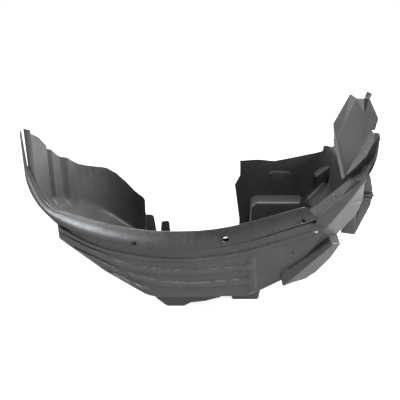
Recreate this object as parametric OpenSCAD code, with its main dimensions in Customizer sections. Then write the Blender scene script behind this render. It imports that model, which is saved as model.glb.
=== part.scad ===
// Wheel arch cover: a moulded liner that lies crown down, with a spring clip nut on its side tab.
// X runs along the arch, Y from the lip to the inboard wall, Z up. Heights are above the crown.

/* [Arch] */
// Length of the cover between its end walls
arch_l = 680; // [660:2:720]
// Depth from the lip to the inboard wall
depth = 262; // [254:2:290]
// Thickness of the moulded wall
wall_t = 2.5; // [2:0.25:3]
// Height of the left end wall's tip above the crown
left_h = 405; // [395:1:420]
// Height of the inboard wall at the left of the right half
panel_h = 218; // [205:1:230]
// Height of the shoulder, from the crown to the lip
shoulder_h = 139; // [130:1:144]
// How far the shoulder leans inboard from the lip down to the crown
shoulder_lean = 24; // [14:1:30]
// Left side of the opening for the strut
gap_left = -128; // [-134:1:-120]
// Right side of the opening for the strut
gap_right = 83; // [76:1:92]

/* [Lip] */
// Width of the lip at the crown
lip_w = 42; // [36:1:46]
// Thickness of the lip and of its return
lip_t = 2.6; // [2:0.1:3.2]
// Depth of the groove between the lip's face and the shoulder
lip_step = 6; // [4:0.5:9]
// Diameter of the left lip hole
hole_d_left = 9; // [6:0.5:10]
// Diameter of the middle lip hole
hole_d_mid = 13; // [9:0.5:14]
// Diameter of the right lip hole
hole_d_right = 10; // [6:0.5:12]
// Width of the raised rim round each lip hole
rim_w = 2.5; // [1.5:0.25:3]
// Height of the raised rims above the lip
rim_h = 1.2; // [0.8:0.1:2]

/* [Ribs] */
// How far the ribs stand out of the shoulder
rib_h = 4; // [2:0.5:6]
// Width of a rib
rib_w = 9; // [6:0.5:11]
// Width of the step band beside the ribs
band_w = 15; // [10:1:18]
// How far the step band stands out
band_h = 3; // [2:0.5:4]

/* [Raised pad] */
// How far the L-shaped pad stands out of the shoulder
pad_out = 20; // [16:1:22]
// Depth of the feet under the crown
foot_h = 37; // [30:1:42]
// Width of the rounded bulge on the inboard wall
bulge_w = 122; // [100:2:130]
// How far the bulge stands into the wheel space
bulge_out = 42; // [30:1:50]

/* [Right end] */
// Depth of the shelf behind the right part of the lip
shelf_d = 45; // [38:1:50]
// Thickness of the folded panels
panel_t = 2.5; // [2:0.25:3]

/* [Side tab] */
// Distance of the side tab behind the lip
tab_y = 70; // [60:1:84]
// Thickness of the side tab
tab_t = 2.5; // [2:0.25:3]
// Reach of the side tab beyond the end wall
tab_out = 14; // [12:1:18]
// Diameter of the hole in the side tab
tab_hole_d = 7; // [5:0.5:8]

/* [Clip nut] */
// Width of the spring clip
clip_w = 16; // [12:1:18]
// Reach of the clip's legs over the tab
clip_l = 24; // [20:1:26]
// Thickness of the clip's steel strip
clip_t = 1.2; // [0.8:0.1:1.4]
// Diameter of the clip's barrel
barrel_d = 13; // [10:0.5:15]
// Bore of the clip's barrel
barrel_bore = 6; // [4:0.5:7]
// Clearance between the clip's back leg and the tab
clip_gap = 0.2; // [0.1:0.05:0.3]

/* [Hidden] */
$fn = 48;
xl = -arch_l/2;
xr = arch_l/2;
top = 600;
step = 5;
near_y = lip_step;
lip_x = 3;
// Where the lip ends and the shelf begins
shelf_x = xr - 108;
// Where the fuller tread behind the shoulder begins
deep_y = 50;
// Where the ribs meet the step band
band_x = 98;
// Centres of the lip holes: x, height
mid_hole = [52, shoulder_h + 27];
left_hole = [xl + 207, shoulder_h + 17];
right_hole = [xr - 134, shoulder_h + 70];
// Right edge of the side tab, and the foot of the clip on it
tab_x = xr + tab_out;
clip_z = 220;

// Outline of the tread seen along Y: x, height, corner radius
tread = [[xl + 51, top, 0], [xl + 51, 160, 10], [xl + 140, 72, 150], [-108, 0, 60],
    [105, 2, 70], [xr - 115, 81, 200], [xr, 218, 130], [xr, top, 0]];
// Outline of the tread behind the shoulder, fuller at the left
deep_tread = [[xl, top, 0], [xl, 218, 130], [xl + 115, 93, 200], [-100, 0, 70], [0, 0, 0],
    [0, top, 0]];
// Outer edge of the lip seen along Y
lip_edge = [[xl + lip_x, 217, 146], [-145, shoulder_h, 480], [37, shoulder_h, 480],
    [xr - 111, shoulder_h + 70, 60], [xr - lip_x, 313, 110]];
// Closed face of the lip
lip_face = [[xl + lip_x, 330, 0], [xl + lip_x, 217, 146], [-145, shoulder_h, 480],
    [37, shoulder_h, 480], [shelf_x, shoulder_h + 71, 8], [shelf_x - 18, shoulder_h + 101, 18],
    [32, shoulder_h + lip_w, 430], [-140, shoulder_h + lip_w, 430], [xl + 40, 239, 50]];
// Outer edge of the narrow front face beyond the lip's right end
front_edge = [[shelf_x - 2, shoulder_h + 61], [xr - 87, 198], [xr - 79, 203], [xr - 40, 264], [xr - 19, 302],
    [xr - 11, 328], [xr - 15, 360], [xr - 100, 262], [shelf_x - 8, shoulder_h + 86]];
// Inner face of the side walls seen from above: x, y, corner radius
plan = [[xl - 4, -40, 0], [xl + 28, 104, 0], [xl + 23, 108, 1], [xl + 25, 114, 2],
    [xl + 33, 116, 0], [xl + 43, 150, 8], [xl + 56, 156, 8], [xl + 66, 186, 20],
    [-228, depth - 12, 95], [-150, depth - 12, 40], [gap_left, depth - 26, 0],
    [gap_left, depth, 0], [xr - 42, depth, 30], [xr - 46, 200, 20],
    [xr - 34, 120, 40], [xr + 3, -40, 0]];
// Ribs on the shoulder: x, height, corner radius of each one's middle line
rib_1 = [[xl + 56, 191, 0], [-222, shoulder_h + 4, 150], [-120, shoulder_h - 31, 400],
    [40, shoulder_h - 32, 500], [shelf_x, shoulder_h + 39, 0]];
rib_2 = [[xl + 62, 164, 0], [-146, 84, 200], [-42, 72, 400], [25, 76, 300], [band_x + 2, 89, 0]];
rib_3 = [[-142, 64, 0], [-92, 46, 150], [-30, 38, 300], [18, 41, 300], [band_x + 2, 50, 0]];
rib_4 = [[xl + 72, 140, 0], [-182, 82, 0]];
rib_5 = [[-206, 82, 0], [-107, 22, 0]];
// Corners of the folded right end panel: x, y, height
fold_pts = [[xr - 20, 150, 411], [xr - 45, 190, 302], [xr - 34.5, 120, 249], [xr - 13.5, 90, 327],
    [xr - 2, 75, 372], [xr - 10, 110, 392], [xr - 17, 100, 429], [xr - 9, 90, 432],
    [xr + 6, 65, 401], [xr + 2, 65, 376], [xr - 22, 205, 401], [xr - 20, 170, 406],
    [xr - 50, 215, 330], [xr - 47, 215, 308], [xr - 46, 205, 280], [xr - 48, 42, 290],
    [xr - 32, 31, 315], [xr - 19, 18, 343], [xr - 9, 2, 388], [xr - 4, 93, 441],
    [xr - 13, 101, 443]];
// Its facets: diamond, notch, right plate, back plate, keyhole flange and hook
fold_faces = [[0, 1, 5], [1, 2, 3], [1, 3, 5], [3, 4, 5], [0, 5, 6], [5, 4, 9], [5, 9, 8],
    [5, 8, 7], [5, 7, 6], [10, 12, 1], [10, 1, 0], [10, 0, 11], [12, 13, 1], [13, 14, 1],
    [2, 15, 3], [15, 16, 3], [16, 17, 3], [17, 4, 3], [17, 18, 4], [6, 7, 19], [6, 19, 20]];

// Unit vector
function unit(v) = v/norm(v);
// Points of the arc that rounds corner q between p and s with radius r
function arc(p, q, s, r) =
    let (u = unit(p - q), v = unit(s - q), h = acos(u*v)/2,
        c = q + unit(u + v)*r/sin(h), a = q + u*r/tan(h), b = q + v*r/tan(h),
        t0 = atan2(a[1] - c[1], a[0] - c[0]), t1 = atan2(b[1] - c[1], b[0] - c[0]),
        d = t1 - t0 > 180 ? t1 - t0 - 360 : t1 - t0 < -180 ? t1 - t0 + 360 : t1 - t0,
        n = max(1, ceil(abs(d)/step)))
    [for (i = [0:n]) c + r*[cos(t0 + d*i/n), sin(t0 + d*i/n)]];
// Flat part of a path point
function flat2(p) = [p[0], p[1]];
// Closed path with its corners rounded
function soft(path) = let (n = len(path)) [for (i = [0:n - 1])
    for (q = path[i][2] == 0 ? [flat2(path[i])] :
        arc(flat2(path[(i + n - 1) % n]), flat2(path[i]), flat2(path[(i + 1) % n]), path[i][2])) q];
// Open path with its corners rounded
function soft_open(path) = let (n = len(path)) [for (i = [0:n - 1])
    for (q = i == 0 || i == n - 1 || path[i][2] == 0 ? [flat2(path[i])] :
        arc(flat2(path[i - 1]), flat2(path[i]), flat2(path[i + 1]), path[i][2])) q];
// Points of an open path moved sideways by d
function beside(pts, d) = let (n = len(pts)) [for (i = [0:n - 1])
    let (t = unit(pts[min(i + 1, n - 1)] - pts[max(i - 1, 0)])) pts[i] + d*[-t[1], t[0]]];
// Outline of a stroke of width w along an open path
function stroke(path, w) = let (pts = soft_open(path), a = beside(pts, w/2), b = beside(pts, -w/2))
    concat(a, [for (i = [len(b) - 1:-1:0]) b[i]]);

// Drawing in X and Z, extruded from y0 to y1
module along_y(y0, y1) { translate([0, y1, 0]) rotate([90, 0, 0]) linear_extrude(y1 - y0) children(); }
// Drawing in Y and Z, extruded from x0 to x1
module along_x(x0, x1) { translate([x0, 0, 0]) rotate([90, 0, 90]) linear_extrude(x1 - x0) children(); }
// Drawing in X and Y, extruded from z0 to z1
module along_z(z0, z1) { translate([0, 0, z0]) linear_extrude(z1 - z0) children(); }
// Drawing with its outline moved in by g
module inset(g) { offset(delta = -g) children(); }

// Outline of the tread next to the lip
module tread_outline() {
    polygon(soft(tread));
    inset(1) lip_outline();
}
// Main body of the closed form, g inside its outer surface
module main_form(g) {
    intersection() {
        union() {
            along_y(-60, depth + wall_t - g) inset(g) tread_outline();
            along_y(deep_y + g, depth + wall_t - g) inset(g) union() {
                tread_outline();
                polygon(soft(deep_tread));
            }
        }
        along_z(-60, top) inset(g - wall_t) polygon(soft(plan));
        along_x(xl - 20, xr + 20) inset(g) polygon([[near_y, top + 10], [near_y, shoulder_h + 54],
            [near_y + shoulder_lean + 2, -20], [depth + 60, -20], [depth + 60, top + 10]]);
        bevel(g);
    }
}
// Everything behind the slanting face at the lower right
module bevel(g) {
    translate([xr - 87, 2, 198]) rotate([19.9, 0, 34.4])
        translate([-700, g, -700]) cube([1400, 1400, 1400]);
}
// Raised L-shaped pad, g inside its outer surface
module l_pad(g) {
    intersection() {
        along_y(-20, 80) inset(g) polygon([[xr - 175, 40], [xr - 154, 45], [xr - 121, 45],
            [xr - 95, 68], [xr - 68, 109], [xr - 52, 150], [xr - 75, 157], [xr - 157, 83], [xr - 170, 80]]);
        translate([xr - 130, 20 - pad_out, 91]) rotate([0, -47, 0]) along_x(-120, 140) inset(g)
            polygon([[30, 26], [0, 0], [26, -42], [90, -42], [90, 26]]);
    }
}
// Feet under the crown
module feet(g) {
    along_y(50, depth + wall_t - g) inset(g) polygon([[-104, 20], [-98, -14], [-80, 2 - foot_h + 4],
        [-72, -foot_h], [-35, -foot_h], [-20, -28], [11, -24], [47, -13], [52, 20]]);
    along_y(75, depth + wall_t - g) inset(g) polygon([[71, 20], [71, -foot_h], [131, -foot_h], [139, 20]]);
}
// Rounded bulge that stands into the wheel space from the inboard wall
module bulge(g) {
    along_y(depth - bulge_out - g, depth + 20) inset(-g) polygon(soft([[gap_right + 35, 60, 0],
        [gap_right + 35, 132, 18], [gap_right + 35 + bulge_w, 132, 8], [gap_right + 35 + bulge_w, 60, 0]]));
}
// Closed form of the cover, g inside its outer surface
module form(g) {
    union() {
        main_form(g);
        l_pad(g);
        feet(g);
    }
}
// Space above the top edges
module above() {
    along_x(xl - 20, -215) polygon([[-60, left_h - 10], [0, left_h - 6], [9, left_h], [40, 379],
        [70, 360], [105, 324], [135, 293], [185, 252], [205, 234], [240, 208], [300, 208],
        [300, top + 20], [-60, top + 20]]);
    along_x(-220, 205) polygon([[-60, 400], [400, 400], [400, top + 20], [-60, top + 20]]);
    along_y(228, 320) polygon([[-232, 216], [-218, 210], [-198, 194], [-171, 164],
        [-150, 136], [-135, 105], [gap_left, 88], [gap_left, 5], [gap_right + 13, 5],
        [gap_right + 13, 62], [gap_right, 155], [gap_right + 12, 180], [gap_right + 11, panel_h],
        [137, panel_h + 3], [175, panel_h - 1], [229, panel_h + 11], [xr - 49, panel_h + 25],
        [xr - 33, panel_h + 38], [xr + 30, panel_h + 60], [xr + 30, top + 20], [-232, top + 20]]);
    along_x(200, xr + 30) polygon([[45, 291], [75, 315], [120, 249], [190, 302], [205, 283], [240, 262],
        [300, 256], [300, top + 20], [-60, top + 20], [-60, 300]]);
}
// Opening in front, inside the lip
module front_opening() {
    intersection() {
        along_y(-60, 50) inset(lip_t) lip_outline();
        face_layer(80, wall_t + 0.3);
        along_y(-60, 50) polygon([[xl + 7, -60], [xr - 12, -60], [xr - 12, top], [xl + 7, top]]);
    }
    intersection() {
        along_y(-60, 50) inset(lip_t) polygon(front_edge);
        face_layer(80, wall_t + 0.3);
    }
}
// Lip's outline, open at the top
module lip_outline() {
    polygon(concat([[xl + lip_x, top]], soft_open(concat([[xl + lip_x, top, 0]], lip_edge,
        [[xr - lip_x, top, 0]])), [[xr - lip_x, top]]));
}
// Rim of the lip's outline, w wide
module lip_strip(w) { difference() { lip_outline(); inset(w) lip_outline(); } }
// Space in front of the riser's back face
module riser_slab(t) {
    translate([0, shelf_d, 283]) rotate([21.8, 0, 0]) translate([-500, -t, -400]) cube([1000, t, 800]);
}
// Flat lip with its return
module lip() {
    along_y(0, lip_t) polygon(soft(lip_face));
    intersection() {
        along_y(0, 15) lip_strip(lip_t);
        along_y(-1, 16) polygon([[xl, 0], [shelf_x, 0], [shelf_x, 330], [xl, 330]]);
    }
}
// Shelf that runs inboard from the right part of the lip, and the riser along its back
module shelf() {
    intersection() {
        along_y(0, shelf_d) lip_strip(panel_t);
        along_y(-1, shelf_d + 1) polygon([[shelf_x - 1, 0], [xr + 20, 0], [xr + 20, 386], [shelf_x - 1, 386]]);
        riser_slab(200);
    }
    intersection() {
        along_y(-20, 60) polygon([[xr - 48, 290], [xr - 32, 315], [xr - 19, 343], [xr - 11, 375],
            [xr - 15, 398], [xr - 5, 396], [xr - 1, 383], [xr - 4, 338], [xr - 34, 281]]);
        riser_slab(panel_t);
        along_y(0, 60) polygon([[0, 0], [xr + 20, 0], [xr + 20, top], [0, top]]);
    }
}
// Narrow front face beyond the lip's right end, with its own return
module front_face() {
    along_y(0, lip_t) difference() { polygon(front_edge); inset(lip_t) lip_outline(); }
    along_y(0, 12) difference() {
        polygon(front_edge);
        inset(lip_t) polygon(front_edge);
        inset(lip_t) lip_outline();
    }
}
// Layer of the shoulder from a out of its face to b behind it
module face_layer(a, b) {
    along_x(xl - 20, xr + 20) polygon([[near_y - a, top + 20], [near_y - a, shoulder_h + 54],
        [near_y - a + shoulder_lean + 2, -20], [near_y + b + shoulder_lean + 2, -20],
        [near_y + b, shoulder_h + 54], [near_y + b, top + 20]]);
}
// Drawing raised h out of the shoulder's face
module raised(h) {
    intersection() {
        along_y(-20, 60) intersection() {
            children();
            inset(0.5) tread_outline();
        }
        face_layer(h, wall_t/2);
    }
}
module ribs() {
    raised(rib_h) polygon(stroke(rib_1, rib_w - 1));
    raised(rib_h) polygon(stroke(rib_2, rib_w + 4));
    raised(rib_h) polygon(stroke(rib_3, rib_w + 4));
    raised(rib_h) polygon(stroke(rib_4, rib_w + 4));
    raised(rib_h) polygon(stroke(rib_5, rib_w - 3));
    raised(band_h) polygon([[band_x, 112], [band_x + band_w, 113], [band_x + 9 + band_w, 6],
        [band_x + 9, 5]]);
}
// Thick sheet on the facets f of the points p, its back moved by push
module sheet(p, f, push) {
    n = len(p);
    edges = [for (q = f) for (i = [0:len(q) - 1]) [q[i], q[(i + 1) % len(q)]]];
    rim = [for (e = edges) if (len([for (k = edges) if (k == [e[1], e[0]]) k]) == 0) e];
    polyhedron(concat(p, [for (q = p) q + push]), concat(
        [for (q = f) [for (i = [len(q) - 1:-1:0]) q[i]]],
        [for (q = f) [for (v = q) v + n]],
        [for (e = rim) [e[0], e[1], e[1] + n, e[0] + n]]));
}
module right_end() {
    sheet(fold_pts, fold_faces, [panel_t, 0, 0]);
    sheet([[xr - 52, 194, 302], [xr - 40, 120, 240], [xr - 33, 118, 246], [xr - 44.5, 188, 304]],
        [[0, 1, 2], [0, 2, 3]], [0, 3, 0]);
}
// Small features on the inboard side
module inboard_details() {
    along_y(depth, depth + wall_t) polygon(soft([[gap_left - 6, 1, 0], [gap_left - 6, 78, 8],
        [gap_left + 17, 76, 8], [gap_left + 27, 1, 0]]));
    along_y(depth, depth + wall_t) polygon(soft([[gap_left + 31, 1, 0], [gap_left + 35, 58, 6],
        [gap_left + 54, 60, 6], [gap_left + 58, 1, 0]]));
    along_y(depth - 3, depth + 1) polygon(soft([[xr - 181, 189, 4], [xr - 168, 193, 4],
        [xr - 133, 191, 6], [xr - 124, 182, 6], [xr - 109, 124, 3], [xr - 161, 124, 3]]));
    along_y(depth - 25, depth + 1) polygon(soft([[xr - 76, 190, 2], [xr - 40, 219, 0],
        [xr - 40, 200, 0], [xr - 51, 176, 4], [xr - 68, 176, 6]]));
    along_y(depth - bulge_out - 2, depth - bulge_out + 1) polygon([[gap_right + bulge_w + 25, 145],
        [gap_right + bulge_w + 59, 120], [gap_right + bulge_w + 57, 100], [gap_right + bulge_w + 27, 80]]);
}
// Side tab at the right
module side_tab() {
    difference() {
        along_y(tab_y, tab_y + tab_t) polygon(soft([[xr - 42, 135, 0], [xr - 12, 135, 5],
            [tab_x, 208, 3], [tab_x, 244, 12], [tab_x - 10, 282, 5], [xr - 40, 225, 0], [xr - 60, 150, 0]]));
        main_form(wall_t/2);
    }
}
// Raised rims of the lip holes
module rim(at, d) {
    translate([at[0], -rim_h, at[1]]) rotate([-90, 0, 0]) cylinder(d = d + 2*rim_w, h = rim_h + lip_t/2);
}
// Hole drilled along Y
module drill_y(at, d, y0, y1) {
    translate([at[0], y0, at[1]]) rotate([-90, 0, 0]) cylinder(d = d, h = y1 - y0);
}
// Every hole and slot
module holes() {
    drill_y(left_hole, hole_d_left, -5, lip_t + 1);
    drill_y(mid_hole, hole_d_mid, -5, lip_t + 1);
    drill_y(right_hole, hole_d_right, -5, lip_t + 1);
    drill_y([xr - 149, 124], 4, 0, 40);
    drill_y([xr - 15, 216], tab_hole_d, tab_y - 1, tab_y + tab_t + 1);
    drill_y([gap_right + 29, panel_h - 6], 3, depth - 2, depth + 5);
    translate([xl - 20, 14, 341]) rotate([0, 90, 0]) cylinder(d = 8, h = 40);
    translate([xr - 40, 43, 343]) rotate([0, 90, 0]) cylinder(d = 9, h = 60);
    along_y(depth - 2, depth + 5) translate([gap_right + 29.5, panel_h - 32]) square([3, 21]);
    translate([xr - 50, 27, 267]) rotate([0, -46, 0]) cube([20, 14, 16], center = true);
    translate([xr - 68, 25, 248]) rotate([0, -46, 0]) translate([0, 0, -8]) cylinder(d = 4, h = 18);
    along_y(-1, 30) polygon([[xr - 95, 197], [xr - 91, 210], [xr - 83, 204], [xr - 81, 194],
        [xr - 86, 190]]);
}
// Model moved so that its origin is the middle lip hole, at the lip's face
module placed() { translate([-mid_hole[0], 0, -mid_hole[1]]) children(); }
module liner() color("#3b3b3c") {
    placed() difference() {
        union() {
            difference() {
                form(0);
                difference() { form(wall_t); bulge(wall_t); }
                bulge(0);
                above();
                front_opening();
            }
            lip();
            shelf();
            front_face();
            ribs();
            right_end();
            inboard_details();
            side_tab();
            rim(left_hole, hole_d_left);
            rim(mid_hole, hole_d_mid);
            rim(right_hole, hole_d_right);
        }
        holes();
    }
}
module clip_nut() color("#1c1c1e") {
    leg = clip_l + clip_gap + clip_t;
    barrel_z = clip_z + clip_w/2 + 2;
    placed() difference() {
        union() {
            translate([tab_x - clip_l, tab_y - clip_t, clip_z]) cube([leg, clip_t, clip_w]);
            translate([tab_x - clip_l, tab_y + tab_t + clip_gap, clip_z]) cube([leg, clip_t, clip_w]);
            translate([tab_x + clip_gap, tab_y - clip_t, clip_z])
                cube([clip_t, tab_t + clip_gap + 2*clip_t, clip_w]);
            translate([tab_x - clip_l + 1, tab_y - barrel_d/2, barrel_z]) rotate([0, 90, 0])
                cylinder(d = barrel_d, h = clip_l - 4);
            translate([tab_x - clip_l + 4, tab_y - clip_t - 1, clip_z + clip_w + 4]) rotate([0, 22, 0])
                translate([0, 0, -3]) cube([clip_l + 2, clip_t + 1, 4]);
        }
        translate([tab_x - clip_l, tab_y - barrel_d/2, barrel_z]) rotate([0, 90, 0])
            cylinder(d = barrel_bore, h = clip_l);
    }
}
liner();
clip_nut();
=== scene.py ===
"""Wheel arch cover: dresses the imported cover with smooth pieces, materials, a camera and lights."""

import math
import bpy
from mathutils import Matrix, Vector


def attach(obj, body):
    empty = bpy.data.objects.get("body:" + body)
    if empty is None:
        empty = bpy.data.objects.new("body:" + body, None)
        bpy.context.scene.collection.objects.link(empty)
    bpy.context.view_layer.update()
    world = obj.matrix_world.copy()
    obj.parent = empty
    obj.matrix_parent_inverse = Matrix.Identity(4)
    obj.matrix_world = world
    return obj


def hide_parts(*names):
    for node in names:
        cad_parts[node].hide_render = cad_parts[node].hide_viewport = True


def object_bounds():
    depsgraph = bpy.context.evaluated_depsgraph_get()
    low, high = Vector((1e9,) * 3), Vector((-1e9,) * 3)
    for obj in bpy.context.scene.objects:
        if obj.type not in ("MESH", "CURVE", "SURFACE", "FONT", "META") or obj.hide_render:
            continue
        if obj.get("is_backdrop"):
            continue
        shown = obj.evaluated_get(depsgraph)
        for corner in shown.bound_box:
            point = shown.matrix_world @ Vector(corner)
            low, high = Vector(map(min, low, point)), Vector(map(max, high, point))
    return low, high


bl_info = {
    "name": "Wheel arch cover",
    "version": (1, 0, 0),
    "blender": (4, 5, 0),
    "location": "View3D > Sidebar > Arch cover",
    "description": "Builds a moulded wheel arch cover in its packed frame",
    "category": "Add Mesh",
}

import bmesh
import bpy
import numpy as np
from bpy.props import FloatProperty, FloatVectorProperty, PointerProperty
from mathutils import Vector

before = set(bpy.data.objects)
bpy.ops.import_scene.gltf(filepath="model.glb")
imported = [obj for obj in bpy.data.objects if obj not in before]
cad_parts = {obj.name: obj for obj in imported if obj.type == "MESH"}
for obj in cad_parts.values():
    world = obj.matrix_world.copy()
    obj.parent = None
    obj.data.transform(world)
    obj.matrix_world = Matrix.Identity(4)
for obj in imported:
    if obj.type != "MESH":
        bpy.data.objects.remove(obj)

# Drawing frame in millimetres: x along the arch, y inboard, h above the crown.
# The row frame's origin is the middle lip hole, in metres.
MM = 0.001
LIP_HOLE = np.array([52.0, 0.0, 166.0])
# Height of the middle that the rays of the shell start from
AXLE = 300.0
OPEN_TOP = 600.0

TREAD = [(-289, OPEN_TOP, 0), (-289, 160, 10), (-200, 72, 150), (-108, 0, 60), (105, 2, 70),
         (225, 81, 200), (340, 218, 130), (340, OPEN_TOP, 0)]
DEEP_TREAD = [(-340, OPEN_TOP, 0), (-340, 218, 130), (-225, 93, 200), (-100, 0, 70), (0, 0, 0)]
LIP_EDGE = [(-337, OPEN_TOP, 0), (-337, 217, 146), (-145, 139, 480), (37, 139, 480), (229, 209, 60),
            (337, 313, 110), (337, OPEN_TOP, 0)]
LIP_LOWER = [(-336.8, 398, 0), (-337, 217, 146), (-145, 139, 480), (37, 139, 480), (232, 210, 8),
             (223, 225, 0)]
LIP_UPPER = [(-333, 398, 0), (-330, 330, 0), (-300, 239, 50), (-140, 181, 430), (32, 181, 430), (214, 240, 18),
             (223, 225, 0)]
FRONT_EDGE = [(230, 200), (253, 198), (261, 203), (300, 264), (321, 302), (329, 328)]
PLAN = [(-344, -40, 0), (-312, 104, 0), (-317, 108, 1), (-315, 114, 2), (-307, 116, 0),
        (-297, 150, 8), (-284, 156, 8), (-274, 186, 20), (-228, 250, 95), (-150, 250, 40),
        (-128, 236, 0), (-128, 262, 0), (298, 262, 30), (294, 200, 20), (306, 120, 40), (343, -40, 0)]
# Top edges: y and height on the end walls, x and height on the inboard wall
LEFT_TOP = [(-60, 395), (0, 399), (9, 405), (40, 379), (70, 360), (105, 324), (135, 293), (185, 252),
            (205, 234), (240, 212)]
RIGHT_TOP = [(-60, 300), (45, 291), (75, 315), (120, 249), (190, 302), (205, 283), (240, 262),
             (300, 256)]
FAR_TOP = [(-232, 216), (-218, 210), (-198, 194), (-171, 164), (-150, 136), (-135, 105), (-128, 88),
           (-128, 5), (96, 5), (96, 62), (83, 155), (95, 180), (94, 218), (137, 221), (175, 217),
           (229, 229), (291, 243), (298, 248)]
# Middle lines of the shoulder's ribs, each with its width
RIBS = [([(-284, 191, 0), (-222, 143, 150), (-120, 108, 400), (40, 107, 500), (232, 178, 0)], 8),
        ([(-278, 164, 0), (-146, 84, 200), (-42, 72, 400), (25, 76, 300), (100, 89, 0)], 13),
        ([(-142, 64, 0), (-92, 46, 150), (-30, 38, 300), (18, 41, 300), (100, 50, 0)], 13),
        ([(-268, 140, 0), (-182, 82, 0)], 13),
        ([(-206, 82, 0), (-107, 22, 0)], 6)]
# Rows of the shell's grid from the lip out to the tread
SHOULDER_ROWS = 66
STEP_BAND = [(98, 112), (113, 113), (122, 6), (107, 5)]
LIP_HOLES = [((-133, 156), 9.0), ((52, 166), 13.0), ((206, 209), 10.0)]
# Corners of the folded right end panel, and its facets by their letters
FOLD = {"A": (320, 150, 411), "B": (295, 190, 302), "C": (305.5, 120, 249), "D": (326.5, 90, 327),
        "E": (338, 75, 372), "F": (330, 110, 392), "G": (323, 100, 429), "H": (331, 90, 432),
        "I": (346, 65, 401), "J": (342, 65, 376), "K": (318, 205, 401), "L": (320, 170, 406),
        "M": (290, 215, 330), "N": (293, 215, 308), "O": (294, 205, 280), "R": (292, 42, 290),
        "S": (308, 31, 315), "T": (321, 18, 343), "U": (331, 2, 388), "V": (336, 93, 441),
        "W": (327, 101, 443)}
FOLD_FACETS = {"diamond": ["ABF", "BCD", "BDF", "DEF"], "right_plate": ["FEJ", "FJI", "FIH", "FHG"],
               "notch": ["AFG"], "back_plate": ["KMB", "KBA", "KAL", "MNB", "NOB"],
               "flange": ["CRD", "RSD", "STD", "TED", "TUE"], "hook": ["GHV", "GVW"]}
FIN = [(288, 194, 302), (300, 120, 240), (307, 118, 246), (295.5, 188, 304)]


def linear(code):
    """Linear colour of an sRGB hex code."""
    c = np.array([int(code[k:k + 2], 16) for k in (1, 3, 5)]) / 255
    return tuple(np.where(c <= 0.04045, c / 12.92, ((c + 0.055) / 1.055) ** 2.4)) + (1.0,)


class CoverSizes(bpy.types.PropertyGroup):
    """Sizes of the moulding, in millimetres."""

    wall: FloatProperty(name="Wall", description="Thickness of the moulding", default=2.5)
    lip_thickness: FloatProperty(name="Lip", description="Thickness of the lip", default=2.6)
    lip_return: FloatProperty(name="Return", description="Depth of the lip's return", default=13.0)
    lip_crown: FloatProperty(name="Crown", description="How far the lip leans back at its top", default=6.0)
    rib_height: FloatProperty(name="Rib height", description="Ribs above the shoulder", default=4.0)
    band_height: FloatProperty(name="Band height", description="Step band's height", default=3.0)
    fillet: FloatProperty(name="Fillet", description="Width of the moulded blends", default=11.0)
    rim_width: FloatProperty(name="Rim width", description="Rim round a lip hole", default=2.5)
    rim_height: FloatProperty(name="Rim height", description="Rim above the lip", default=1.2)
    shelf_depth: FloatProperty(name="Shelf depth", description="Depth of the shelf", default=45.0)


class CoverColours(bpy.types.PropertyGroup):
    """Colours as they are seen in plain light."""

    plastic: FloatVectorProperty(name="Plastic", description="Moulded plastic", subtype="COLOR",
                                 size=3, default=linear("#2c2c2d")[:3])
    worn: FloatVectorProperty(name="Worn plastic", description="Plastic where it is rubbed or dusty",
                              subtype="COLOR", size=3, default=linear("#3a3938")[:3])
    lip: FloatVectorProperty(name="Lip", description="Smooth plastic of the lip", subtype="COLOR",
                             size=3, default=linear("#1c1c1e")[:3])
    steel: FloatVectorProperty(name="Steel", description="Black spring steel", subtype="COLOR",
                               size=3, default=linear("#1c1c1f")[:3])


def unit(v):
    """v at length one."""
    v = np.asarray(v, float)
    return v / np.linalg.norm(v)


def rounded(corners, step=5.0, closed=True):
    """Outline through corners (a, b, radius); each radius is an arc tangent to both sides."""
    points = []
    count = len(corners)
    for i, corner in enumerate(corners):
        q = np.array(corner[:2], float)
        radius = corner[2] if len(corner) > 2 else 0
        if radius == 0 or (not closed and i in (0, count - 1)):
            points.append(q[None])
            continue
        u = unit(np.array(corners[i - 1][:2]) - q)
        v = unit(np.array(corners[(i + 1) % count][:2]) - q)
        half = math.acos(np.clip(u @ v, -1, 1)) / 2
        centre = q + unit(u + v) * radius / math.sin(half)
        start = q + u * radius / math.tan(half) - centre
        end = q + v * radius / math.tan(half) - centre
        a0 = math.atan2(start[1], start[0])
        sweep = (math.atan2(end[1], end[0]) - a0 + math.pi) % math.tau - math.pi
        turn = a0 + sweep * np.linspace(0, 1, int(abs(math.degrees(sweep)) / step) + 2)
        points.append(centre + radius * np.column_stack((np.cos(turn), np.sin(turn))))
    return np.vstack(points)


def spaced(line, count):
    """count points evenly along an open line."""
    run = np.concatenate(([0], np.cumsum(np.linalg.norm(np.diff(line, axis=0), axis=1))))
    at = np.linspace(0, run[-1], count)
    return np.column_stack([np.interp(at, run, line[:, k]) for k in range(line.shape[1])])


def bearing(x, h):
    """Angle of a point round the axle, from straight down, growing towards +x."""
    return np.arctan2(x, AXLE - h)


def reach(corners, angle):
    """Distance from the axle to an outline in each direction, nothing where it has no point."""
    line = spaced(rounded(corners, closed=False), 1500)
    a = bearing(line[:, 0], line[:, 1])
    order = np.argsort(a)
    return np.interp(angle, a[order], np.hypot(line[:, 0], AXLE - line[:, 1])[order], 0, 0)


def line_distance(a, b, line):
    """Distance of the points (a, b) to an open line, the least over its pieces."""
    p = np.stack((a, b), -1)[..., None, :]
    start, side = line[:-1], np.diff(line, axis=0)
    t = np.clip(((p - start) * side).sum(-1) / (side ** 2).sum(-1), 0, 1)
    return np.linalg.norm(p - start - t[..., None] * side, axis=-1).min(-1)


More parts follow.
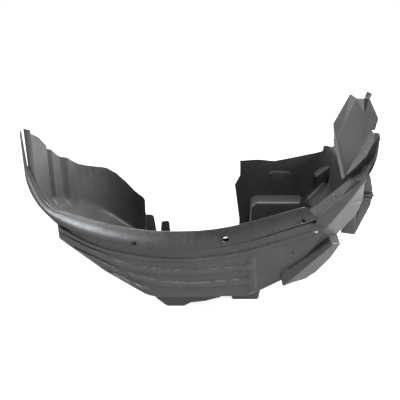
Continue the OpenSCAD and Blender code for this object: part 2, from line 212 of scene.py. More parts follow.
def outline_distance(a, b, outline):
    """Distance to a closed outline, negative inside it, by counting the sides crossed."""
    closed = np.vstack((outline, outline[:1]))
    start, end = closed[:-1], closed[1:]
    above = (start[:, 1] > b[..., None]) != (end[:, 1] > b[..., None])
    rise = np.where(end[:, 1] == start[:, 1], 1, end[:, 1] - start[:, 1])
    cross = start[:, 0] + (b[..., None] - start[:, 1]) * (end[:, 0] - start[:, 0]) / rise
    inside = (above & (a[..., None] < cross)).sum(-1) % 2 == 1
    return np.where(inside, -1, 1) * line_distance(a, b, closed)


def smooth_max(a, b, width):
    """The larger of two values, blended over a width where they are close."""
    near = np.maximum(width - np.abs(a - b), 0)
    return np.maximum(a, b) + near ** 2 / (4 * width)


def ease(t):
    """Smooth step from 0 to 1."""
    t = np.clip(t, 0, 1)
    return t * t * (3 - 2 * t)


def face_depth(h):
    """Depth of the shoulder's face at a height: upright above 193, leaning back below."""
    return 6 + 24 * np.maximum(0, 193 - h) / 195


def finish_piece(name, points, faces, material, smooth=True):
    """Object with these points in the drawing frame and these faces, merged and facing outwards."""
    mesh = bpy.data.meshes.new(name)
    mesh.from_pydata(((np.asarray(points, float) - LIP_HOLE) * MM).tolist(), [], faces)
    work = bmesh.new()
    work.from_mesh(mesh)
    bmesh.ops.remove_doubles(work, verts=work.verts, dist=0.02 * MM)
    bmesh.ops.dissolve_degenerate(work, edges=work.edges, dist=0.005 * MM)
    bmesh.ops.recalc_face_normals(work, faces=work.faces)
    work.to_mesh(mesh)
    work.free()
    mesh.shade_smooth() if smooth else mesh.shade_flat()
    if smooth:
        mesh.set_sharp_from_angle(angle=math.radians(38))
    piece = bpy.data.objects.new(name, mesh)
    bpy.context.scene.collection.objects.link(piece)
    mesh.materials.append(material)
    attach(piece, "root")
    return piece


def grid_faces(rows, cols, start=0, wrap=False):
    """Faces of a grid of rows by cols points; wrap joins the last column to the first."""
    index = start + np.arange(rows * cols).reshape(rows, cols)
    if wrap:
        index = np.column_stack((index, index[:, 0]))
    quads = np.stack((index[:-1, :-1], index[:-1, 1:], index[1:, 1:], index[1:, :-1]), -1)
    return quads.reshape(-1, 4).tolist()


def loft(name, rings, material, smooth=True):
    """Closed piece through equal rings of points, with flat ends."""
    rings = np.asarray(rings, float)
    rows, cols = rings.shape[:2]
    faces = grid_faces(rows, cols, wrap=True)
    faces.append(list(range(cols)))
    faces.append(list(range((rows - 1) * cols, rows * cols)))
    return finish_piece(name, rings.reshape(-1, 3), faces, material, smooth)


def moved_in(outline, d):
    """Closed outline moved inwards by d along its corners' bisectors."""
    before = np.roll(outline, 1, 0)
    after = np.roll(outline, -1, 0)
    area = (before[:, 0] * outline[:, 1] - before[:, 1] * outline[:, 0]).sum()
    a = outline - before
    b = after - outline
    a /= np.maximum(np.linalg.norm(a, axis=1), 1e-9)[:, None]
    b /= np.maximum(np.linalg.norm(b, axis=1), 1e-9)[:, None]
    normal = np.column_stack((-(a + b)[:, 1], (a + b)[:, 0])) * np.sign(area)
    length = np.maximum(np.linalg.norm(normal, axis=1), 0.8)
    return outline + d * 2 * normal / length[:, None] ** 2


def plate(name, corners, y0, y1, edge, material):
    """Plate between two depths whose rim is a quarter circle of radius edge at each face."""
    outline = rounded(corners, step=12)
    turn = np.radians([0, 30, 60, 90])
    inset = edge * (1 - np.sin(turn))
    step = edge * (1 - np.cos(turn))
    inset, depth = np.append(inset, inset[::-1]), np.append(y0 + step, (y1 - step)[::-1])
    rings = []
    for d, y in zip(inset, depth):
        ring = moved_in(outline, d)
        rings.append(np.column_stack((ring[:, 0], np.full(len(ring), y), ring[:, 1])))
    return loft(name, rings, material)


def cut(piece, cutter):
    """Takes the cutter's solid out of the piece and deletes the cutter."""
    change = piece.modifiers.new("Cut", "BOOLEAN")
    change.object = cutter
    change.solver = "EXACT"
    applied(piece)
    bpy.data.objects.remove(cutter)


def applied(piece):
    """The piece with its modifiers made part of its mesh."""
    bpy.context.view_layer.update()
    graph = bpy.context.evaluated_depsgraph_get()
    mesh = bpy.data.meshes.new_from_object(piece.evaluated_get(graph))
    mesh.name = piece.name
    piece.modifiers.clear()
    piece.data = mesh
    return piece


def drill(piece, centre, along, radius, length):
    """Round hole through the piece at a point of the drawing frame."""
    along = unit(along)
    side = unit(np.cross(along, (0.3, 0.5, 0.8)))
    turn = np.linspace(0, math.tau, 32, endpoint=False)
    ring = np.outer(np.cos(turn), side) + np.outer(np.sin(turn), np.cross(along, side))
    ends = [np.asarray(centre) + radius * ring + along * s * length / 2 for s in (-1, 1)]
    cutter = loft("drill", ends, piece.data.materials[0])
    cut(piece, cutter)


def add_node(tree, kind, settings=None, **inputs):
    """Adds a node, sets its properties, and gives each named input a value or a link."""
    node = tree.nodes.new(kind)
    for key, value in (settings or {}).items():
        setattr(node, key, value)
    for key, value in inputs.items():
        name = key.replace("_", " ")
        socket = node.inputs[int(key[1:])] if key[0] == "i" and key[1:].isdigit() else node.inputs[name]
        if isinstance(value, bpy.types.NodeSocket):
            tree.links.new(value, socket)
        else:
            socket.default_value = value
    return node


def moulded(name, dark, pale, roughness, gloss=0.32):
    """Injection-moulded polypropylene: satin, with faint flow clouds, scuffs and a fine grain."""
    material = bpy.data.materials.new(name)
    material.use_nodes = True
    tree = material.node_tree
    tree.nodes.clear()
    place = add_node(tree, "ShaderNodeTexCoord").outputs["Object"]
    # Flow clouds of the melt, about 70 mm across
    cloud = add_node(tree, "ShaderNodeTexNoise", Vector=place, Scale=1 / (70 * MM), Detail=3.0)
    # Scuffs and dust, about 9 mm across
    scuff = add_node(tree, "ShaderNodeTexNoise", Vector=place, Scale=1 / (9 * MM), Detail=6.0,
                     Roughness=0.7)
    # Spark-eroded mould grain, drawn 1.5 mm across so that it shows
    grain = add_node(tree, "ShaderNodeTexNoise", Vector=place, Scale=1 / (1.5 * MM), Detail=2.0)
    both = add_node(tree, "ShaderNodeMath", {"operation": "MULTIPLY"}, i0=cloud.outputs["Fac"],
                    i1=scuff.outputs["Fac"])
    share = add_node(tree, "ShaderNodeMapRange", Value=both.outputs[0], From_Min=0.12, From_Max=0.42)
    colour = add_node(tree, "ShaderNodeMix", {"data_type": "RGBA"}, i0=share.outputs[0],
                      i6=(*dark, 1.0), i7=(*pale, 1.0))
    rough = add_node(tree, "ShaderNodeMapRange", Value=scuff.outputs["Fac"], From_Min=0.3,
                     From_Max=0.7, To_Min=roughness - 0.05, To_Max=roughness + 0.07)
    bump = add_node(tree, "ShaderNodeBump", Strength=0.12, Distance=0.15 * MM,
                    Height=grain.outputs["Fac"])
    shader = add_node(tree, "ShaderNodeBsdfPrincipled", Base_Color=colour.outputs[2], IOR=1.49,
                      Roughness=rough.outputs[0], Normal=bump.outputs[0], Specular_IOR_Level=gloss)
    add_node(tree, "ShaderNodeOutputMaterial", Surface=shader.outputs[0])
    return material


def spring_steel():
    """Black phosphated spring steel, oiled: dark with a clear sheen and faint streaks."""
    material = bpy.data.materials.new("Black phosphated spring steel")
    material.use_nodes = True
    tree = material.node_tree
    tree.nodes.clear()
    place = add_node(tree, "ShaderNodeTexCoord").outputs["Object"]
    streak = add_node(tree, "ShaderNodeTexNoise", Vector=place, Scale=1 / (4 * MM), Detail=4.0)
    rough = add_node(tree, "ShaderNodeMapRange", Value=streak.outputs["Fac"], From_Min=0.3,
                     From_Max=0.7, To_Min=0.18, To_Max=0.34)
    colour = add_node(tree, "ShaderNodeMix", {"data_type": "RGBA"}, i0=streak.outputs["Fac"],
                      i6=(*bpy.context.scene.cover_colours.steel, 1.0), i7=linear("#3a3a3e"))
    shader = add_node(tree, "ShaderNodeBsdfPrincipled", Base_Color=colour.outputs[2],
                      Roughness=rough.outputs[0], Metallic=0.6)
    add_node(tree, "ShaderNodeOutputMaterial", Surface=shader.outputs[0])
    return material


def plastic():
    """The cover's satin plastic, made once."""
    name = "Moulded black polypropylene, satin"
    colours = bpy.context.scene.cover_colours
    return bpy.data.materials.get(name) or moulded(name, colours.plastic, colours.worn, 0.40)


def lip_plastic():
    """The lip's smoother plastic, rubbed by handling, made once."""
    name = "Moulded black polypropylene, smooth"
    colours = bpy.context.scene.cover_colours
    return bpy.data.materials.get(name) or moulded(name, colours.lip, colours.plastic, 0.22)


def cover_form(x, y, h, g, sizes):
    """Closed form of the cover, negative inside and g mm within its outer face.

    The largest of its limits, blended: the shoulder's face, the tread's radius in each direction,
    the side walls' plan and the slanting face at the lower right.
    """
    angle = bearing(x, h)
    radius = np.hypot(x, AXLE - h)
    near = np.maximum(reach(TREAD, angle), reach(LIP_EDGE, angle) - 1)
    deep = np.maximum(near, reach(DEEP_TREAD, angle))
    tread = radius - (near + (deep - near) * ease((y - 46) / 7))
    plan = outline_distance(x, y, rounded(PLAN, step=12)) - sizes.wall
    bevel = 0.531 * (x - 253) - 0.776 * (y - 2) - 0.340 * (h - 198)
    body = smooth_max(tread, plan, sizes.fillet)
    body = smooth_max(body, face_depth(h) - y, 0.7 * sizes.fillet)
    return np.maximum(body, bevel) + g


def on_form(origin, base, g, sizes):
    """Points where the rays from origin through base leave the form, found by halving."""
    low = np.full(base.shape[:-1], 0.4)
    high = np.full(base.shape[:-1], 1.6)
    ray = base - origin
    for _ in range(18):
        mid = (low + high) / 2
        p = origin + mid[..., None] * ray
        out = cover_form(p[..., 0], p[..., 1], p[..., 2], g, sizes) > 0
        high = np.where(out, mid, high)
        low = np.where(out, low, mid)
    return origin + ((low + high) / 2)[..., None] * ray


def wall_limits(y):
    """Angles where the end walls' top edges lie at each depth."""
    plan = rounded(PLAN, step=12)
    left, right = plan[plan[:, 0] < -200], plan[plan[:, 0] > 250]
    limits = []
    for side, top in ((left, LEFT_TOP), (right, RIGHT_TOP)):
        side = side[np.argsort(side[:, 1])]
        x = np.interp(y, side[:, 1], side[:, 0])
        limits.append(bearing(x, np.interp(y, *np.array(top, float).T)))
    return limits


def inboard_depths(wall):
    """Depth of the inboard wall's outer face at each x, for np.interp."""
    plan = rounded(PLAN, step=12)
    bend = plan[(plan[:, 0] <= -129) & (plan[:, 1] > 186)]
    bend = bend[np.argsort(bend[:, 0])]
    x = np.concatenate((bend[:, 0], (-128.5, -127.5, 400)))
    return x, np.concatenate((bend[:, 1], (236, 262, 262))) + wall


def far_top_line():
    """Top edge of the bend and the inboard wall, x and height, in order round the axle."""
    plan = rounded(PLAN, step=12)
    side = plan[plan[:, 0] < -200]
    side = side[np.argsort(side[:, 1])]
    y = np.array([200, 205, 213, 221, 229, 235.0])
    bend = np.column_stack((np.interp(y, side[:, 1], side[:, 0]),
                            np.interp(y, *np.array(LEFT_TOP, float).T)))
    return np.vstack((bend, FAR_TOP))


def shell_rays(sizes):
    """Base points and ray origins of the shell's grid, rows from the lip to the far top edge."""
    corners = bearing(*far_top_line().T)
    run = spaced(rounded(DEEP_TREAD, closed=False)[:, :2], 130)
    left = bearing(run[:, 0], run[:, 1])
    right_run = spaced(rounded(TREAD, closed=False), 420)
    right = bearing(right_run[:, 0], right_run[:, 1])
    angle = np.concatenate((left[left < -0.02], right[right > 0], corners, [0]))
    angle = np.unique(np.round(angle, 4))
    angle = angle[(angle > -1.9) & (angle < 1.72)]
    far = {"low": corners[0], "high": corners[-1]}
    rows = []
    # Shoulder: from behind the lip out to the tread
    edge = np.maximum(reach(LIP_EDGE, angle), reach([c + (0,) for c in FRONT_EDGE], angle)) - 4
    outer = np.maximum(reach(TREAD, angle), reach(LIP_EDGE, angle) - 1)
    edge = np.minimum(edge, outer - 1)
    low, high = wall_limits(np.array(8.0))
    kept = np.clip(angle, low, high)
    for share in np.linspace(0, 1, SHOULDER_ROWS):
        r = np.interp(kept, angle, edge + (outer - edge) * share)
        h = AXLE - r * np.cos(kept)
        rows.append((kept, r, face_depth(h), np.full_like(r, 60.0)))
    # Tread and end walls, at steady depths
    fine = [36, 40, 44, 46, 48, 50, 52, 54, 58, 63, 68, 73, 78, 83, 88, 93, 98, 102, 105, 107, 109, 111,
            113, 115, 117, 119, 122, 127, 132, 137, 142, 146, 149, 152, 155, 158, 162, 167, 172, 178,
            184, 190, 195, 200]
    for y in fine:
        low, high = wall_limits(np.array(float(y)))
        kept = np.clip(angle, low, high)
        radius = reach(DEEP_TREAD, kept)
        radius = np.maximum(np.maximum(reach(TREAD, kept), radius), reach(LIP_EDGE, kept) - 1)
        rows.append((kept, radius, np.full_like(kept, float(y)), np.full_like(kept, float(y))))
    return angle, rows, far


class COVER_OT_shell(bpy.types.Operator):
    """Shoulder, tread, end walls and inboard wall as one blended moulding"""

    bl_idname = "cover.shell"
    bl_label = "Shell"

    def execute(self, context):
        sizes = context.scene.cover_sizes
        angle, rows, far = shell_rays(sizes)
        skins = []
        for g in (0.0, sizes.wall):
            skin = []
            for kept, r, y, start in rows:
                base = np.column_stack((r * np.sin(kept), y, AXLE - r * np.cos(kept)))
                origin = np.column_stack((0 * r, np.maximum(start, 60), np.full_like(r, AXLE)))
                skin.append(on_form(origin, base, g, sizes))
            last = skin[-1]
            seen = bearing(last[:, 0], last[:, 2])
            size = np.hypot(last[:, 0], AXLE - last[:, 2])
            order = np.argsort(seen)
            deep = inboard_depths(sizes.wall)
            edge_line = far_top_line()
            top_angle = bearing(edge_line[:, 0], edge_line[:, 1])
            fan = np.linspace(far["low"], far["high"], 1200)
            # Each stretch of the top edge is straight, so its radius is found on the line itself
            along = np.searchsorted(top_angle, fan, side="right").clip(1, len(top_angle) - 1)
            a, b = edge_line[along - 1], edge_line[along]
            way = np.column_stack((np.sin(fan), -np.cos(fan)))
            side = b - a
            lift = a - np.array([0, AXLE])
            top_r = (lift[:, 0] * side[:, 1] - lift[:, 1] * side[:, 0]) / (
                way[:, 0] * side[:, 1] - way[:, 1] * side[:, 0])
            origin = np.column_stack((0 * angle, np.full_like(angle, 130.0), np.full_like(angle, AXLE)))
            for share in np.linspace(0, 1, 14)[1:]:
                high = wall_limits(np.array(200 + 62 * share))[1]
                kept = np.clip(angle, far["low"], high)
                r = np.interp(kept, seen[order], size[order])
                x = r * np.sin(kept)
                y = 200 + (np.interp(x, *deep) - 200) * share
                base = np.column_stack((x, y, AXLE - r * np.cos(kept)))
                skin.append(on_form(origin, base, g, sizes))
            kept = np.clip(angle, far["low"], far["high"])
            start_r = np.interp(kept, seen[order], size[order])
            end_r = np.interp(kept, fan, top_r)
            for share in np.linspace(0, 1, 30)[1:]:
                r = start_r + (end_r - start_r) * share
                x = r * np.sin(kept)
                base = np.column_stack((x, np.interp(x, *deep), AXLE - r * np.cos(kept)))
                skin.append(on_form(origin, base, g, sizes))
            skins.append(np.array(skin))
        outer, inner = skins
        self.raise_ribs(outer[:SHOULDER_ROWS], sizes)
        for skin in (outer, inner):
            self.channel(skin[:SHOULDER_ROWS])
        rows_n, cols_n = outer.shape[:2]
        points = np.concatenate((outer.reshape(-1, 3), inner.reshape(-1, 3)))
        faces = grid_faces(rows_n, cols_n) + grid_faces(rows_n, cols_n, rows_n * cols_n)
        index = np.arange(rows_n * cols_n).reshape(rows_n, cols_n)
        loop = np.concatenate((index[0], index[1:, -1], index[-1, -2::-1], index[-2:0:-1, 0]))
        after = np.roll(loop, -1)
        more = rows_n * cols_n
        faces += np.stack((loop, after, after + more, loop + more), -1).tolist()
        piece = finish_piece("liner_shell", points, faces, plastic())
        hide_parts("liner")
        drill(piece, (191, 20, 124), (0, 1, 0), 2.2, 60)
        drill(piece, (-333, 14, 341), (1, 0, 0), 4.0, 40)
        return {"FINISHED"}

    def channel(self, skin):
        """Sinks a shallow channel beside the lip, easing out over its width."""
        x, h = skin[..., 0], skin[..., 2]
        below = np.hypot(x, AXLE - h) - reach(LIP_EDGE, bearing(x, h))
        room = reach(TREAD, bearing(x, h)) - np.hypot(x, AXLE - h)
        skin[..., 1] += 3.5 * ease((8 - below) / 4) * ease((room - 4) / 8) * (x < 228)

    def raise_ribs(self, skin, sizes):
        """Raises the ribs and the step band by easing over the distance to their lines."""
        x, h = skin[..., 0], skin[..., 2]
        height = np.zeros_like(x)
        for line, width in RIBS:
            gap = line_distance(x, h, rounded(line, closed=False))
            height = np.maximum(height, sizes.rib_height * ease((width / 2 + 1.3 - gap) / 2.6))
        band = outline_distance(x, h, np.array(STEP_BAND, float))
        height = np.maximum(height, sizes.band_height * ease((1 - band) / 3))
        angle = bearing(x, h)
        room = np.maximum(reach(TREAD, angle), reach(LIP_EDGE, angle) - 1) - np.hypot(x, AXLE - h)
        skin[..., 1] -= height * ease((room - 5) / 6)


class COVER_OT_lip(bpy.types.Operator):
    """Lip along the arch with its rolled edge, return, holes and rims"""

    bl_idname = "cover.lip"
    bl_label = "Lip"

    def execute(self, context):
        sizes = context.scene.cover_sizes
        t = sizes.lip_thickness
        lower = spaced(rounded(LIP_LOWER, closed=False), 260)
        upper = spaced(rounded(LIP_UPPER, closed=False), 260)
        way = upper - lower
        width = np.linalg.norm(way, axis=1)
        way /= np.maximum(width, 1e-6)[:, None]
        room = np.minimum(width / 2, 3)
        back = sizes.lip_return * np.clip(width / 20, 0.7, 1)
        # Section from the return's back, round the lower edge, across the face and back
        crown = sizes.lip_crown * np.clip(width / 40, 0.1, 1)
        section = [(0, 2.4), (0.15, 1.5), (0.5, 0.7), (1.1, 0.2), (2.0, 0.0)]
        rings = [self.rail(lower, way, 0, back)]
        rings += [self.rail(lower, way, np.minimum(d, room), y) for d, y in section]
        for share in np.linspace(0.08, 0.92, 9):
            bow = crown * (1 - math.cos(math.pi / 2 * share))
            rings.append(self.rail(lower, way, 2 + (width - 4) * share, bow))
        section = [(-1.6, 0.0), (-0.6, 0.25), (-0.1, 0.9), (0, 1.6), (-0.5, t)]
        rings += [self.rail(upper, way, np.maximum(d, -room), crown + y) for d, y in section]
        section = [(t, t + 0.5), (t, back)]
        rings += [self.rail(lower, way, np.minimum(d, room), y) for d, y in section]
        piece = loft("liner_lip", np.transpose(np.array(rings), (1, 0, 2)), lip_plastic())
        for number, (at, d) in enumerate(LIP_HOLES):
            drill(piece, (at[0], 0, at[1]), (0, 1, 0), d / 2, 12)
            self.rim(number, at, d / 2, sizes)
        return {"FINISHED"}

    def rail(self, line, way, d, y):
        """Line moved across the lip by d, at depth y."""
        p = line + np.asarray(d).reshape(-1, 1) * way
        return np.column_stack((p[:, 0], np.broadcast_to(y, len(p)), p[:, 1]))

    def rim(self, number, at, radius, sizes):
        """Raised rim of a lip hole: a rounded ring turned about the hole."""
        turn = np.linspace(0, math.tau, 40, endpoint=False)
        w, top = sizes.rim_width, -sizes.rim_height
        section = [(0, 1.6), (0, top + 0.4), (0.4, top), (w - 0.8, top), (w - 0.2, top + 0.4), (w, 0.3),
                   (w, 1.6)]
        rings = [np.column_stack((at[0] + (radius + d) * np.cos(turn), np.full_like(turn, y),
                                  at[1] + (radius + d) * np.sin(turn))) for d, y in section]
        rings = np.array(rings)
        faces = grid_faces(len(section), 40, wrap=True)
        ends = np.arange(40)
        last = ends + 40 * (len(section) - 1)
        faces += np.stack((ends, np.roll(ends, -1), np.roll(last, -1), last), -1).tolist()
        finish_piece("liner_rim_%d" % (number + 1), rings.reshape(-1, 3), faces, lip_plastic())


def strip(name, path, inward, y0, y1, thickness, material):
    """Strip that stands along a path of x and height, from depth y0 to y1, with a rounded front."""
    path = np.asarray(path, float)
    y1 = np.broadcast_to(y1, len(path))
    section = [(0, y1), (0, y0 + 1.2 + 0 * y1), (0.5, y0 + 0.2 + 0 * y1), (1.2, y0 + 0 * y1),
               (thickness - 0.5, y0 + 0.2 + 0 * y1), (thickness, y0 + 1.0 + 0 * y1), (thickness, y1)]
    rails = [np.column_stack((path[:, 0] + d * inward[:, 0], y, path[:, 1] + d * inward[:, 1]))
             for d, y in section]
    return loft(name, np.transpose(np.array(rails), (1, 0, 2)), material)


def side_of(path):
    """Unit vectors to the left of an open path."""
    t = np.gradient(path, axis=0)
    t /= np.linalg.norm(t, axis=1)[:, None]
    return np.column_stack((-t[:, 1], t[:, 0]))


class COVER_OT_shelf(bpy.types.Operator):
    """Shelf at the right with its riser and the narrow front face beyond the lip"""

    bl_idname = "cover.shelf"
    bl_label = "Shelf"

    def execute(self, context):
        sizes = context.scene.cover_sizes
        wall = sizes.wall
        edge = rounded(LIP_EDGE, closed=False)
        edge = spaced(edge, 900)
        path = edge[(edge[:, 0] > 226) & (edge[:, 1] < 386)][::3]
        depth = np.minimum(sizes.shelf_depth, sizes.shelf_depth - 0.4 * (path[:, 1] - 283))
        shelf = strip("liner_shelf", path, side_of(path), 0.0, np.maximum(depth, 3.2), wall, plastic())
        drill(shelf, (272, 25, 248), (-0.719, 0, 0.695), 2.0, 20)
        slot = plate("slot", [(-10, -7, 2), (10, -7, 2), (10, 7, 2), (-10, 7, 2)], -12, 12, 0.3, plastic())
        self.turn_slot(slot)
        cut(shelf, slot)
        face = np.array(FRONT_EDGE, float)
        inner = path[(path[:, 1] < 345)] + 2.6 * side_of(path[(path[:, 1] < 345)])
        corners = [tuple(p) + (0,) for p in np.vstack((face, inner[::-1][::3]))]
        plate("liner_front_face", corners, 0.0, sizes.lip_thickness, 0.7, plastic())
        line = spaced(face, 40)
        strip("liner_front_return", line, side_of(line), 0.6, 12.0, 2.6, plastic())
        riser = [(292, 290), (308, 315), (321, 343), (329, 375), (325, 398), (335, 396), (339, 383),
                 (336, 338), (306, 281)]
        points = [(x, max(sizes.shelf_depth - 0.4 * (h - 283), 1.5), h) for x, h in riser]
        sheet("liner_riser", points, [list(range(len(points)))], wall)
        return {"FINISHED"}

    def turn_slot(self, piece):
        """Turns the slot's cutter square to the shelf and moves it there."""
        count = len(piece.data.vertices)
        flat = np.empty(count * 3, np.float32)
        piece.data.vertices.foreach_get("co", flat)
        p = flat.reshape(-1, 3) / MM + LIP_HOLE
        # The cutter's own height runs along y, its depth square to the shelf
        along, across, out = p[:, 0], p[:, 2], p[:, 1]
        a = math.radians(44)
        x = 290 + along * math.cos(a) - out * math.sin(a)
        h = 267 + along * math.sin(a) + out * math.cos(a)
        p = np.column_stack((x, 27 + across, h))
        piece.data.vertices.foreach_set("co", ((p - LIP_HOLE) * MM).astype(np.float32).ravel())
        piece.data.update()


def sheet(name, points, facets, thickness, bevel=1.1):
    """Thick folded sheet on flat facets, with softened creases and edges."""
    piece = finish_piece(name, points, facets, plastic(), smooth=False)
    solid = piece.modifiers.new("Wall", "SOLIDIFY")
    solid.thickness = thickness * MM
    solid.offset = 0
    soft = piece.modifiers.new("Creases", "BEVEL")
    soft.width = bevel * MM
    soft.segments = 2
    soft.limit_method = "ANGLE"
    soft.angle_limit = math.radians(12)
    return piece


class COVER_OT_end_panel(bpy.types.Operator):
    """Folded panel that closes the right end, with its flange, hook and fin"""

    bl_idname = "cover.end_panel"
    bl_label = "End panel"

    def execute(self, context):
        wall = context.scene.cover_sizes.wall
        letters = list(FOLD)
        facets = [[letters.index(c) for c in facet] for group in FOLD_FACETS.values() for facet in group]
        panel = sheet("liner_end_panel", [FOLD[c] for c in letters], facets, wall)
        applied(panel)
        drill(panel, (316, 43, 343), (1, 0, 0), 4.5, 60)
        sheet("liner_fin", FIN, [[0, 1, 2, 3]], wall)
        return {"FINISHED"}


class COVER_OT_side_tab(bpy.types.Operator):
    """Tab with a screw hole that the spring clip is pushed on"""

    bl_idname = "cover.side_tab"
    bl_label = "Side tab"

    def execute(self, context):
        corners = [(298, 140, 0), (328, 135, 5), (354, 208, 3), (354, 244, 12), (344, 282, 5),
                   (303, 240, 0)]
        tab = plate("liner_side_tab", corners, 70.0, 72.5, 0.8, plastic())
        drill(tab, (325, 71, 216), (0, 1, 0), 3.5, 12)
        return {"FINISHED"}


class COVER_OT_pads(bpy.types.Operator):
    """Feet, raised pad, bulge, tabs and small plates"""

    bl_idname = "cover.pads"
    bl_label = "Pads"

    def execute(self, context):
        back = 264.5
        plate("liner_foot_left", [(-104, 20, 0), (-98, -14, 8), (-80, -31, 6), (-72, -37, 5), (-35, -37, 6),
                                  (-20, -28, 8), (11, -24, 20), (47, -13, 8), (52, 20, 0)], 50, back, 4,
              plastic())
        plate("liner_foot_right", [(71, 20, 0), (71, -37, 5), (131, -37, 5), (139, 20, 0)], 75, back, 4,
              plastic())
        plate("liner_bulge", [(118, 60, 2), (118, 132, 18), (240, 132, 8), (240, 60, 2)], 220, 263.5, 6,
              plastic())
        plate("liner_tab_1", [(-134, 1, 0), (-134, 78, 8), (-111, 76, 8), (-101, 1, 0)], 262, back, 0.8,
              plastic())
        plate("liner_tab_2", [(-97, 1, 0), (-93, 58, 6), (-74, 60, 6), (-70, 1, 0)], 262, back, 0.8,
              plastic())
        plate("liner_patch", [(159, 189, 4), (172, 193, 4), (207, 191, 6), (216, 182, 6), (231, 124, 3),
                              (179, 124, 3)], 259, 263, 1.4, plastic())
        plate("liner_ledge", [(264, 190, 2), (300, 219, 0), (300, 200, 0), (289, 176, 4), (272, 176, 6)],
              237, 263, 1.5, plastic())
        plate("liner_web", [(230, 145, 0), (264, 120, 0), (262, 100, 0), (232, 80, 0)], 218, 221, 0.8,
              plastic())
        self.raised_pad()
        return {"FINISHED"}

    def raised_pad(self):
        """Pad with two faces that meet on a slanting ridge: its depth grows on both sides of it."""
        outline = rounded([(172, 50, 3), (190, 54, 4), (221, 55, 6), (245, 71, 6), (272, 109, 8),
                           (288, 150, 4), (265, 157, 5), (183, 83, 5), (170, 80, 3)], step=12)
        outline = spaced(np.vstack((outline, outline[:1])), 129)[:-1]
        middle = np.array([228.0, 95.0])
        along = np.array([math.cos(math.radians(47)), math.sin(math.radians(47))])
        across = np.array([-along[1], along[0]])
        rings = []
        for share in np.append(np.linspace(0.02, 0.94, 20), (0.965, 0.985, 0.996, 1.0)):
            p = middle + (outline - middle) * share
            w = (p - np.array([210.0, 91.0])) @ across
            slope = smooth_max(w * 30 / 26, -w * 26 / 42, 3) + 0.2
            edge = 3 * (1 - np.sqrt(np.clip(1 - ((share - 0.94) / 0.06) ** 2, 0, 1))) if share > 0.94 else 0
            rings.append(np.column_stack((p[:, 0], slope + edge, p[:, 1])))
        rim = rings[-1].copy()
        rim[:, 1] = np.maximum(rim[:, 1] + 2, 46)
        loft("liner_raised_pad", rings + [rim], plastic())


class COVER_OT_clip(bpy.types.Operator):
    """Finish of the spring clip nut"""

    bl_idname = "cover.clip"
    bl_label = "Spring clip"

    def execute(self, context):
        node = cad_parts["clip_nut"]
        node.data.materials.clear()
        node.data.materials.append(spring_steel())
        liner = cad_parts["liner"]
        liner.data.materials.clear()
        liner.data.materials.append(plastic())
        return {"FINISHED"}


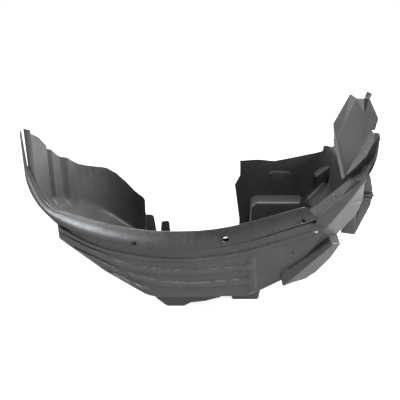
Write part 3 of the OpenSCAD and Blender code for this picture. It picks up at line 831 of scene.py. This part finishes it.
class COVER_OT_stage(bpy.types.Operator):
    """Camera, pale floor, soft lamps and a white surround"""

    bl_idname = "cover.stage"
    bl_label = "Stage"

    def execute(self, context):
        scene = context.scene
        target = Vector((-0.052, 0.0, 0.090))
        tilt = math.radians(28)
        camera = bpy.data.objects.new("camera", bpy.data.cameras.new("camera"))
        camera.location = target + 1.4 * Vector((0, -math.cos(tilt), math.sin(tilt)))
        camera.rotation_euler = (target - camera.location).to_track_quat("-Z", "Y").to_euler()
        camera.data.sensor_width = 36
        camera.data.lens = 36 * 716 / 400
        camera.data.clip_end = 50
        scene.collection.objects.link(camera)
        scene.camera = camera
        floor_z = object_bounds()[0][2] - 0.0005
        mesh = bpy.data.meshes.new("floor")
        mesh.from_pydata([(-6, -6, floor_z), (6, -6, floor_z), (6, 6, floor_z), (-6, 6, floor_z)], [],
                         [(0, 1, 2, 3)])
        floor = bpy.data.objects.new("floor", mesh)
        scene.collection.objects.link(floor)
        mesh.materials.append(self.paper())
        floor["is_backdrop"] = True
        self.surround(scene)
        # Name, place, target, size in metres, power in watts, colour
        lamps = [("overhead", (0.0, 0.3, 1.9), 1.0, 44, (1.0, 0.99, 0.97)),
                 ("right", (1.7, -0.3, 1.0), 0.9, 165, (1.0, 0.97, 0.94)),
                 ("left", (-1.8, 0.1, 0.9), 1.0, 40, (1.0, 0.98, 0.95)),
                 ("front", (0.2, -0.9, 2.2), 0.8, 48, (0.97, 0.985, 1.0)),
                 ("window", (-0.325, -0.80, -0.09), 0.13, 2.6, (0.93, 0.96, 1.0))]
        # The low window only draws the highlight along the left of the lip
        aims = {"window": (-0.218, 0, -0.01)}
        for name, place, size, power, colour in lamps:
            lamp = bpy.data.objects.new(name, bpy.data.lights.new(name, "AREA"))
            lamp.location = place
            way = Vector(aims.get(name, (-0.05, 0.1, 0))) - lamp.location
            lamp.rotation_euler = way.to_track_quat("-Z", "Y").to_euler()
            lamp.data.size = size
            lamp.visible_camera = False
            lamp.data.energy = power
            lamp.data.color = colour
            scene.collection.objects.link(lamp)
        scene.view_settings.view_transform = "Standard"
        return {"FINISHED"}

    def paper(self):
        """White paper floor that keeps the object's shadow."""
        material = bpy.data.materials.new("White paper backdrop")
        material.use_nodes = True
        tree = material.node_tree
        tree.nodes.clear()
        place = add_node(tree, "ShaderNodeTexCoord").outputs["Object"]
        fibre = add_node(tree, "ShaderNodeTexNoise", Vector=place, Scale=1 / (2 * MM))
        tint = add_node(tree, "ShaderNodeMix", {"data_type": "RGBA"}, i0=fibre.outputs["Fac"],
                        i6=linear("#909090"), i7=linear("#969696"))
        matt = add_node(tree, "ShaderNodeBsdfDiffuse", Color=tint.outputs[2])
        glow = add_node(tree, "ShaderNodeEmission", Color=(1, 1, 1, 1), Strength=0.88)
        both = add_node(tree, "ShaderNodeAddShader", i0=matt.outputs[0], i1=glow.outputs[0])
        path = add_node(tree, "ShaderNodeLightPath")
        seen = add_node(tree, "ShaderNodeMath", {"operation": "MAXIMUM"},
                        i0=path.outputs["Is Camera Ray"], i1=path.outputs["Is Glossy Ray"])
        mix = add_node(tree, "ShaderNodeMixShader", i0=seen.outputs[0], i1=matt.outputs[0],
                       i2=both.outputs[0])
        add_node(tree, "ShaderNodeOutputMaterial", Surface=mix.outputs[0])
        return material

    def surround(self, scene):
        """White to the camera and in reflections, and a soft fill for the rest."""
        world = bpy.data.worlds.new("surround")
        scene.world = world
        world.use_nodes = True
        tree = world.node_tree
        tree.nodes.clear()
        path = add_node(tree, "ShaderNodeLightPath")
        seen = add_node(tree, "ShaderNodeMath", {"operation": "MAXIMUM"},
                        i0=path.outputs["Is Camera Ray"], i1=path.outputs["Is Glossy Ray"])
        seen = add_node(tree, "ShaderNodeMath", {"operation": "MAXIMUM"}, i0=seen.outputs[0],
                        i1=path.outputs["Is Transmission Ray"])
        way = add_node(tree, "ShaderNodeTexCoord").outputs["Generated"]
        part = add_node(tree, "ShaderNodeSeparateXYZ", Vector=way)
        # The camera's side of the room is dark in reflections, the far side is white
        front = add_node(tree, "ShaderNodeMapRange", Value=part.outputs["Y"], From_Min=-0.6, From_Max=0.3,
                         To_Min=0.15, To_Max=1.0)
        shiny = add_node(tree, "ShaderNodeMix", {"data_type": "FLOAT"}, i0=path.outputs["Is Glossy Ray"],
                         i2=1.0, i3=front.outputs[0])
        strength = add_node(tree, "ShaderNodeMix", {"data_type": "FLOAT"}, i0=seen.outputs[0], i2=0.07,
                            i3=shiny.outputs[0])
        light = add_node(tree, "ShaderNodeBackground", Color=(1, 1, 1, 1), Strength=strength.outputs[0])
        add_node(tree, "ShaderNodeOutputWorld", Surface=light.outputs[0])


class COVER_PT_panel(bpy.types.Panel):
    """Steps that build the cover, in order"""

    bl_label = "Arch cover"
    bl_idname = "COVER_PT_panel"
    bl_space_type = "VIEW_3D"
    bl_region_type = "UI"
    bl_category = "Arch cover"

    def draw(self, context):
        for group in (context.scene.cover_sizes, context.scene.cover_colours):
            for name in group.__annotations__:
                self.layout.prop(group, name)
        for step in STEPS:
            self.layout.operator(step.bl_idname)


STEPS = [COVER_OT_shell, COVER_OT_lip, COVER_OT_shelf, COVER_OT_end_panel, COVER_OT_side_tab,
         COVER_OT_pads, COVER_OT_clip, COVER_OT_stage]
CLASSES = [CoverSizes, CoverColours, *STEPS, COVER_PT_panel]


def register():
    for item in CLASSES:
        bpy.utils.register_class(item)
    bpy.types.Scene.cover_sizes = PointerProperty(type=CoverSizes)
    bpy.types.Scene.cover_colours = PointerProperty(type=CoverColours)


def unregister():
    del bpy.types.Scene.cover_sizes
    del bpy.types.Scene.cover_colours
    for item in reversed(CLASSES):
        bpy.utils.unregister_class(item)


def main():
    """Builds the whole scene."""
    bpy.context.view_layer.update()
    register()
    for step in STEPS:
        group, name = step.bl_idname.split(".")
        if getattr(getattr(bpy.ops, group), name)() != {"FINISHED"}:
            raise RuntimeError("the step %s did not finish" % step.bl_label)


if __name__ == "__main__":
    main()
